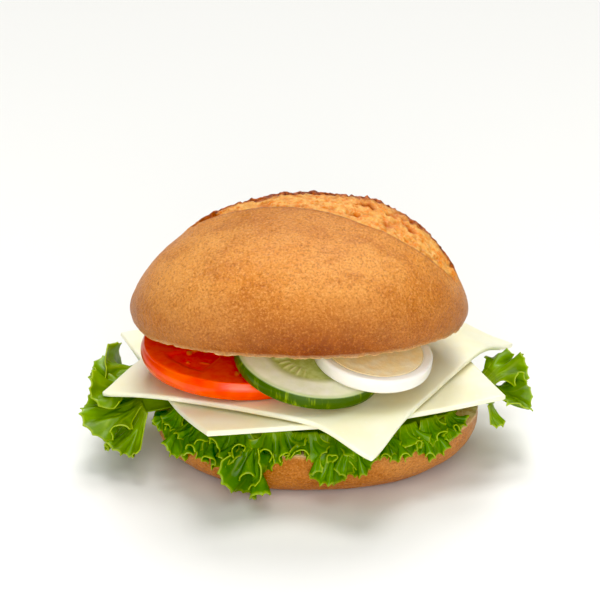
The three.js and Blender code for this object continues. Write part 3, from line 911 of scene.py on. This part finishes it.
def egg_slice():
    bpy.ops.object.select_all(action="DESELECT")
    bpy.ops.mesh.primitive_torus_add(major_segments=180, minor_segments=56, major_radius=1, minor_radius=0.25)
    white = bpy.context.object
    white.name = "egg_white_cut"
    ring = points_of(white)
    angle = np.arctan2(ring[:, 1], ring[:, 0])
    section = np.arctan2(ring[:, 2], np.hypot(ring[:, 0], ring[:, 1]) - 1)
    cos, sin = np.cos(section), np.sin(section)
    reach = (np.abs(cos) ** EGG_SQUARE + np.abs(sin) ** EGG_SQUARE) ** (-1 / EGG_SQUARE)
    half_width, half_height = (EGG_RADIUS - YOLK_RADIUS) / 2, EGG_THICKNESS / 2
    out = (EGG_RADIUS + YOLK_RADIUS) / 2 + half_width * reach * cos
    out = out * (1 + 0.006 * np.sin(2 * angle + 1) + 0.004 * np.sin(3 * angle))
    level = half_height + half_height * reach * sin
    shape = np.stack([out * np.cos(angle), out * np.sin(angle), level], axis=1)
    move_points(white, placed(shape, EGG_PLACE, EGG_TURNS))
    turn_outwards(white)
    hand_over(white, "egg_white", boiled_white)

    yolk, shape, angle, reach, on_top, on_skin = round_slice(
        "egg_yolk_cut", 160, 90, YOLK_RADIUS + 0.12, EGG_THICKNESS - 0.1, bulge=0, rounding=0.3
    )
    shape[:, :2] *= (1 + 0.006 * np.sin(2 * angle + 1) + 0.004 * np.sin(3 * angle))[:, None]
    shape[:, 2] += on_top * (0.12 * lumps(shape, 2.2, 61) + 0.06 * lumps(shape, 0.9, 62) - 0.1)
    move_points(yolk, placed(shape, EGG_PLACE, EGG_TURNS))
    turn_outwards(yolk)
    hand_over(yolk, "egg_yolk", boiled_yolk)


egg_slice()

# %% [markdown]
# ## The lettuce
# A frilled leaf has far more edge than its middle has room for, so its edge folds into waves on waves.
# Waves drawn by a formula look regular, so each lobe is grown instead. It starts as a flat fan over the
# roll's rim, whose points are joined by springs that want more length towards the edge. The springs push
# until the lobe has found its own folds. The edge is paler than the leaf, and light from behind shines
# through.

# %% Mix the lettuce finish
def lettuce_finish():
    leaf = Finish("lettuce_leaf", Roughness=0.36)
    leaf.set("Specular IOR Level", 0.4)
    blotch = leaf.ramp(leaf.noise(9, 3, 0.55), 0.3, 0.7)
    blister = leaf.noise(2.6, 3, 0.55)
    green = leaf.mix(blotch, srgb(86, 138, 2), srgb(124, 176, 8))
    green = leaf.mix(leaf.some(blister, 0.5, 0.72, 0.35), green, srgb(162, 204, 30))
    green = leaf.mix(leaf.stored("rib"), green, srgb(196, 214, 84))
    green = leaf.mix(leaf.math("MULTIPLY", leaf.stored("edge"), 0.75), green, srgb(206, 226, 70))
    leaf.set("Base Color", green)
    leaf.set("Normal", leaf.bump(blister, 0.3, 0.5))
    leaf.let_light_through(0.4, green)
    return leaf.material


fresh_leaf = lettuce_finish()
print("finish:", fresh_leaf.name)

# %% Keep the leaves under the cheese
LEAF_THICKNESS = 0.4
FIELD, FIELD_STEP = 110, 0.5


def roof_heights():
    """How high a leaf may come at each place, every half millimetre: up to the cheese that lies over it."""
    line = np.arange(-FIELD, FIELD + 0.1, FIELD_STEP)
    x, y = (part.ravel() for part in np.meshgrid(line, line, indexing="ij"))
    roof = 99 + 0 * x
    lower = (LOWER_CENTRE, LOWER_TURN, lower_level)
    upper = (UPPER_CENTRE, UPPER_TURN, upper_level)
    for centre, turn, level in (lower, upper):
        u, v = slice_share(x, y, centre, turn)
        inside = np.maximum(np.abs(u), np.abs(v)) < 0.515
        below = level(x, y) - CHEESE_THICKNESS / 2 - 0.5
        roof = np.where(inside, np.minimum(roof, below), roof)
    return roof.reshape(len(line), len(line))


ROOF = roof_heights()


def under_cheese(spot):
    """Keeps a leaf below the cheese that lies on it."""
    cell = np.round((spot[:, :2] + FIELD) / FIELD_STEP)
    i, j = np.clip(cell, 0, len(ROOF) - 1).astype(int).T
    above = np.clip(spot[:, 2] - ROOF[i, j], 0, None)
    spot[:, 2] -= above + 0.12 * np.minimum(above, 4)
    return spot


print("lowest cheese over a leaf, in mm:", ROOF.min().round(1))


# %% Keep the leaves out of the bread
LEAF_LEVEL = BOTTOM_HEIGHT + 0.6


def body_share(z):
    """How far out the lower half's crust reaches at each height, as a share of its outline."""
    turn = np.arccos(1 - np.clip(z / BOTTOM_HEIGHT, 0, 1) * (1 - math.cos(RIM_TURN)))
    return FOOT_SHARE + (1 - FOOT_SHARE) * np.sin(turn) ** 0.8


def outside_bread(spot):
    """Keeps a leaf outside the lower half of the roll, or on its cut."""
    angle = np.arctan2(spot[:, 1] / ROLL_DEPTH, spot[:, 0] / ROLL_LENGTH)
    x, y = outline(angle, BOTTOM_SHARE)
    share = np.hypot(spot[:, 0], spot[:, 1]) / np.hypot(x, y)
    wanted = body_share(spot[:, 2]) + 0.015
    inside = (share < wanted) & (spot[:, 2] < LEAF_LEVEL)
    lift = inside & (spot[:, 2] > BOTTOM_HEIGHT - 2.5) & (share < 0.97 * wanted)
    out = np.where(inside & ~lift, wanted / np.maximum(share, 0.2), 1)
    spot[:, :2] *= out[:, None]
    spot[:, 2] = np.where(lift, LEAF_LEVEL, spot[:, 2])
    return spot


print("leaves leave the roll at", LEAF_LEVEL, "mm")

# %% Let a sheet settle into folds
# How far along and out each kind of spring reaches, in points, and how stiff it is
SPRING_KINDS = (
    (1, 0, 1), (0, 1, 1), (1, 1, 0.35), (1, -1, 0.35),
    (2, 0, 0.3), (0, 2, 0.5), (4, 0, 0.2), (0, 4, 0.3),
)


def springs_of(columns, rows, along, across):
    """Pairs of points with the distance that each wants to keep, in sets that share no point."""
    index = np.arange(columns * rows).reshape(columns, rows)
    springs = []
    for right, out, stiff in SPRING_KINDS:
        starts = np.arange(columns - right), np.arange(max(0, -out), rows - max(0, out))
        i, j = (part.ravel() for part in np.meshgrid(*starts, indexing="ij"))
        middle = np.clip(j + max(0, out) // 2, 0, rows - 1)
        rest = np.hypot(right * along[np.clip(i, 0, columns - 2), middle], out * across[i])
        order = (i // right) % 2 if right else (j // out) % 2
        for parity in (0, 1):
            pick = order == parity
            first, second = index[i, j][pick], index[i + right, j + out][pick]
            springs.append((first, second, rest[pick], stiff))
    return springs


def settle(spot, free, springs, steps, weight):
    """Lets every spring pull or push its two points, over and over, until the sheet has found its folds."""
    fixed, before = spot.copy(), spot.copy()
    for step in range(steps):
        drift = 0.9 * (spot - before)
        before = spot.copy()
        spot = spot + free[:, None] * drift
        spot[:, 2] -= weight * free
        for first, second, rest, stiff in springs:
            way = spot[second] - spot[first]
            distance = np.sqrt((way**2).sum(axis=1)) + 1e-9
            pull = stiff * (1 - rest / distance) / (free[first] + free[second] + 1e-9)
            move = way * pull[:, None]
            spot[first] += move * free[first][:, None]
            spot[second] -= move * free[second][:, None]
        if step % 4 == 3:
            spot = np.where(free[:, None] > 0, outside_bread(under_cheese(spot)), fixed)
            spot[:, 2] = np.maximum(spot[:, 2], 0.8)
    return spot


print("kinds of springs:", len(SPRING_KINDS))


# %% Grow one lobe
SETTLE_STEPS = 150
TOOTH_SPACING = 4.2


def doubled(grid):
    """A point halfway between each two along the first axis, on a smooth line through them."""
    ends = np.concatenate([2 * grid[:1] - grid[1:2], grid, 2 * grid[-1:] - grid[-2:-1]])
    halfway = (9 * (ends[1:-2] + ends[2:-1]) - ends[:-3] - ends[3:]) / 16
    finer = np.empty((2 * len(grid) - 1,) + grid.shape[1:])
    finer[::2], finer[1::2] = grid, halfway
    return finer


def fan(
    degrees, span, length, level, pitch, seed, growth, wave, tooth, uneven, share=0.9, columns=60, rows=16,
    weight=0.004, heading=0.0, fold=2.2, pale=0.0, finer_rows=False,
):
    """One lobe of a leaf: it grows out over the rim with far more edge than base, and settles into folds."""
    random = np.random.default_rng(seed)
    wave, growth = wave * random.uniform(0.95, 1.5), growth * random.uniform(0.7, 1.1)
    angle = np.radians(np.linspace(degrees - span / 2, degrees + span / 2, columns))
    x, y = outline(angle, BOTTOM_SHARE * share)
    base = np.stack([x, y, level + 0 * x], axis=1)
    way = math.atan2(np.mean(y) / ROLL_DEPTH**2, np.mean(x) / ROLL_LENGTH**2)
    way = way + heading + 0.5 * uneven * random.uniform(-1, 1)
    spread = np.linspace(-0.5, 0.5, columns)
    run = spread * np.linalg.norm(base[-1] - base[0])
    out_way = way + 1.6 * spread
    tilt = pitch + uneven * lumps_along(run, 5, seed)
    level_way = np.cos(tilt)
    out = np.stack([np.cos(out_way) * level_way, np.sin(out_way) * level_way, np.sin(tilt)], axis=1)
    reach = length * (0.5 + 0.5 * np.sqrt(1 - (1.9 * spread) ** 2))
    reach = reach * (1 + 0.22 * lumps_along(run, 2.4, seed + 1))
    far = np.linspace(0, 1, rows)
    gap = np.linalg.norm(np.diff(base, axis=0), axis=1)
    along = gap[:, None] * (1 + growth * far[None, :] ** fold * length / 12)
    phase = 2 * math.pi * run * (1 + growth * 0.5) / wave + random.uniform(0, 6.28)
    phase = phase + 1.5 * lumps_along(run, 3, seed + 2)
    sheet = base[:, None, :] + out[:, None, :] * (reach[:, None] * far)[:, :, None]
    sheet[:, :, 2] += (0.2 * wave * np.sin(phase))[:, None] * far**1.5
    spot = sheet.reshape(-1, 3) + random.normal(0, 0.05, (columns * rows, 3))
    free = np.tile(np.where(far < 1.5 / rows, 0.0, 1.0), columns)
    springs = springs_of(columns, rows, along, reach / (rows - 1))
    spot = settle(spot, free, springs, SETTLE_STEPS, weight)

    # A finer sheet through the settled points, with teeth along its edge
    sheet = doubled(spot.reshape(columns, rows, 3))
    if finer_rows:
        sheet = doubled(sheet.transpose(1, 0, 2)).transpose(1, 0, 2)
    wide, tall = sheet.shape[:2]
    steps = np.linalg.norm(np.diff(sheet[:, -1], axis=0), axis=1)
    rim = np.concatenate([[0], np.cumsum(steps)])
    point = 1 - np.abs(np.sin(math.pi * (rim / TOOTH_SPACING + 0.7 * lumps_along(rim, 6, seed + 3))))
    tooth_length = tooth * (point**1.6 - 0.3) * (0.7 + 0.5 * lumps_along(rim, 7, seed + 4))
    tip = sheet[:, -1] - sheet[:, -3]
    tip = tip / (np.linalg.norm(tip, axis=1) + 1e-9)[:, None] * tooth_length[:, None]
    out_share = np.linspace(0, 1, tall)
    sheet = sheet + tip[:, None, :] * (out_share**5)[None, :, None]
    piece, u, v = grid_start("fan", wide - 1, tall - 1)
    i, j = np.round(u * (wide - 1)).astype(int), np.round(v * (tall - 1)).astype(int)
    move_points(piece, under_cheese(sheet[i, j]) * MM)
    veins = np.abs((4 * u + 0.12 * np.sin(5 * v)) % 1 - 0.5)
    rib = (1 - ease(veins, 0.02, 0.08)) * 0.4 * (1 - v**2) + 0.25 * (1 - ease(v, 0, 0.45))
    store(piece, "rib", rib + pale)
    side = np.minimum(u, 1 - u) * rim[-1] * 0.6
    store(piece, "edge", 1 - ease(np.minimum(length * (1 - v), side), 0.2, 0.75))
    apply_modifier(piece, "thickness", "SOLIDIFY", thickness=LEAF_THICKNESS * MM, offset=0)
    return piece


print("a lobe settles in", SETTLE_STEPS, "steps")


# %% Put a leaf together
def bed_sheet(name, start, end, level, reach=0.92):
    """The hidden inner part of a leaf, from which its lobes grow."""
    piece, u, v = grid_start(name, 90, 14)
    angle = np.radians(start + (end - start) * u)
    x, y = outline(angle, BOTTOM_SHARE * (0.5 + (reach - 0.5) * v))
    ripple = 0.9 * v * np.sin(18 * angle) + 0.6 * np.sin(7 * angle + 5 * v)
    move_points(piece, under_cheese(np.stack([x, y, level + ripple], axis=1)) * MM)
    store(piece, "rib", 0.4 + 0 * u)
    store(piece, "edge", 0 * u)
    apply_modifier(piece, "thickness", "SOLIDIFY", thickness=LEAF_THICKNESS * MM, offset=0)
    return piece


def leaf(name, node, bed, lobes):
    """Joins the inner sheet and the lobes of one leaf."""
    inner = bed_sheet(name, *bed)
    parts = [inner] + [fan(**lobe) for lobe in lobes]
    select_only(inner)
    for part in parts:
        part.select_set(True)
    bpy.ops.object.join()
    inner.name = name
    turn_outwards(inner)
    hand_over(inner, node, fresh_leaf)


def lobes_of(listed, first_seed, **shared):
    """Names the values of each listed lobe, and gives it its own seed."""
    names = ("degrees", "span", "length", "level", "pitch", "heading", "weight")
    return [dict(shared, seed=first_seed + i, **dict(zip(names, one))) for i, one in enumerate(listed)]


print("leaves have a finish:", fresh_leaf.name)

# %% [markdown]
# ## Where the lobes grow
# Each row is one lobe: its angle round the roll and the span of its base in degrees, its length, the level
# of its base in mm and its pitch. Along the front a lower row hangs over the crust and an upper row stands
# under the cheese. The big leaves at the ends also have a heading of their own, and a weight that lifts or
# drops them.

# %% Make the frill along the front
FRILL = dict(growth=6.5, wave=10, tooth=1.5, uneven=0.8, fold=1.9)
FRONT_HANGING = (
    (201, 7, 9, 22, -0.2), (216, 10, 13, 22, -0.5), (231, 10, 13, 22, -0.6), (246, 10, 14, 22, -0.8),
    (250, 8, 19, 20.5, -1.0), (261, 4, 9, 21, -0.9), (276, 6, 14, 21.5, -0.9), (283, 5, 14, 21.5, -0.9),
    (290, 4, 10, 21, -0.8), (301, 9, 10, 22, -0.4), (313, 8, 11, 22, -0.5), (324, 7, 8, 22, -0.2),
    (332, 7, 8, 23, 0.1),
)
FRONT_STANDING = (
    (208, 8, 9, 25, 0.1), (223, 9, 10, 25.5, 0.1), (239, 9, 11, 26, 0), (255, 9, 11, 25.5, -0.1),
    (266, 8, 10, 25, 0), (276, 8, 10, 24.5, -0.2), (287, 8, 9, 24, -0.1), (296, 8, 9, 24, 0.1),
    (307, 8, 9, 24.5, 0.1), (318, 8, 9, 24.5, 0.2),
)
front_lobes = lobes_of(FRONT_HANGING + FRONT_STANDING, 100, **FRILL)
leaf("leaf_front", "lettuce_front", (208, 338, 22), front_lobes)

# %% Make the leaves at the two ends
BIG = dict(
    growth=3.2, wave=10, columns=80, rows=24, share=1.08, tooth=1.3, uneven=0.2, pale=0.25, finer_rows=True
)
LEFT_LOBES = (
    (166, 16, 23, 22.8, 0.45, 0.2, -0.004), (178, 14, 21, 22.8, 0.15, 0.05, -0.001),
    (188, 12, 21, 22.3, -0.1, 0.05, 0.002), (196, 11, 19, 22, -0.6, 0, 0.004),
)
RIGHT_LOBES = (
    (11, 15, 16, 22.5, 0.05, -0.1, -0.003), (2, 12, 15, 22.5, -0.1, 0, 0.001),
    (-12, 7, 8, 22.5, -0.5, 0, 0.003),
)
leaf("leaf_left", "lettuce_left", (158, 198, 22, 1.1), lobes_of(LEFT_LOBES, 300, **BIG))
leaf("leaf_right", "lettuce_right", (346, 378, 22, 1.1), lobes_of(RIGHT_LOBES, 400, **BIG))

# %% Make the frill along the back
BACK_LOBES = [
    (26 + 8 * i, 9, 10 + (i * 5) % 6, 21.5 + (i % 3), -0.8 + 0.4 * ((i * 7) % 3)) for i in range(17)
]
leaf("leaf_back", "lettuce_back", (22, 158, 22), lobes_of(BACK_LOBES, 500, **FRILL))
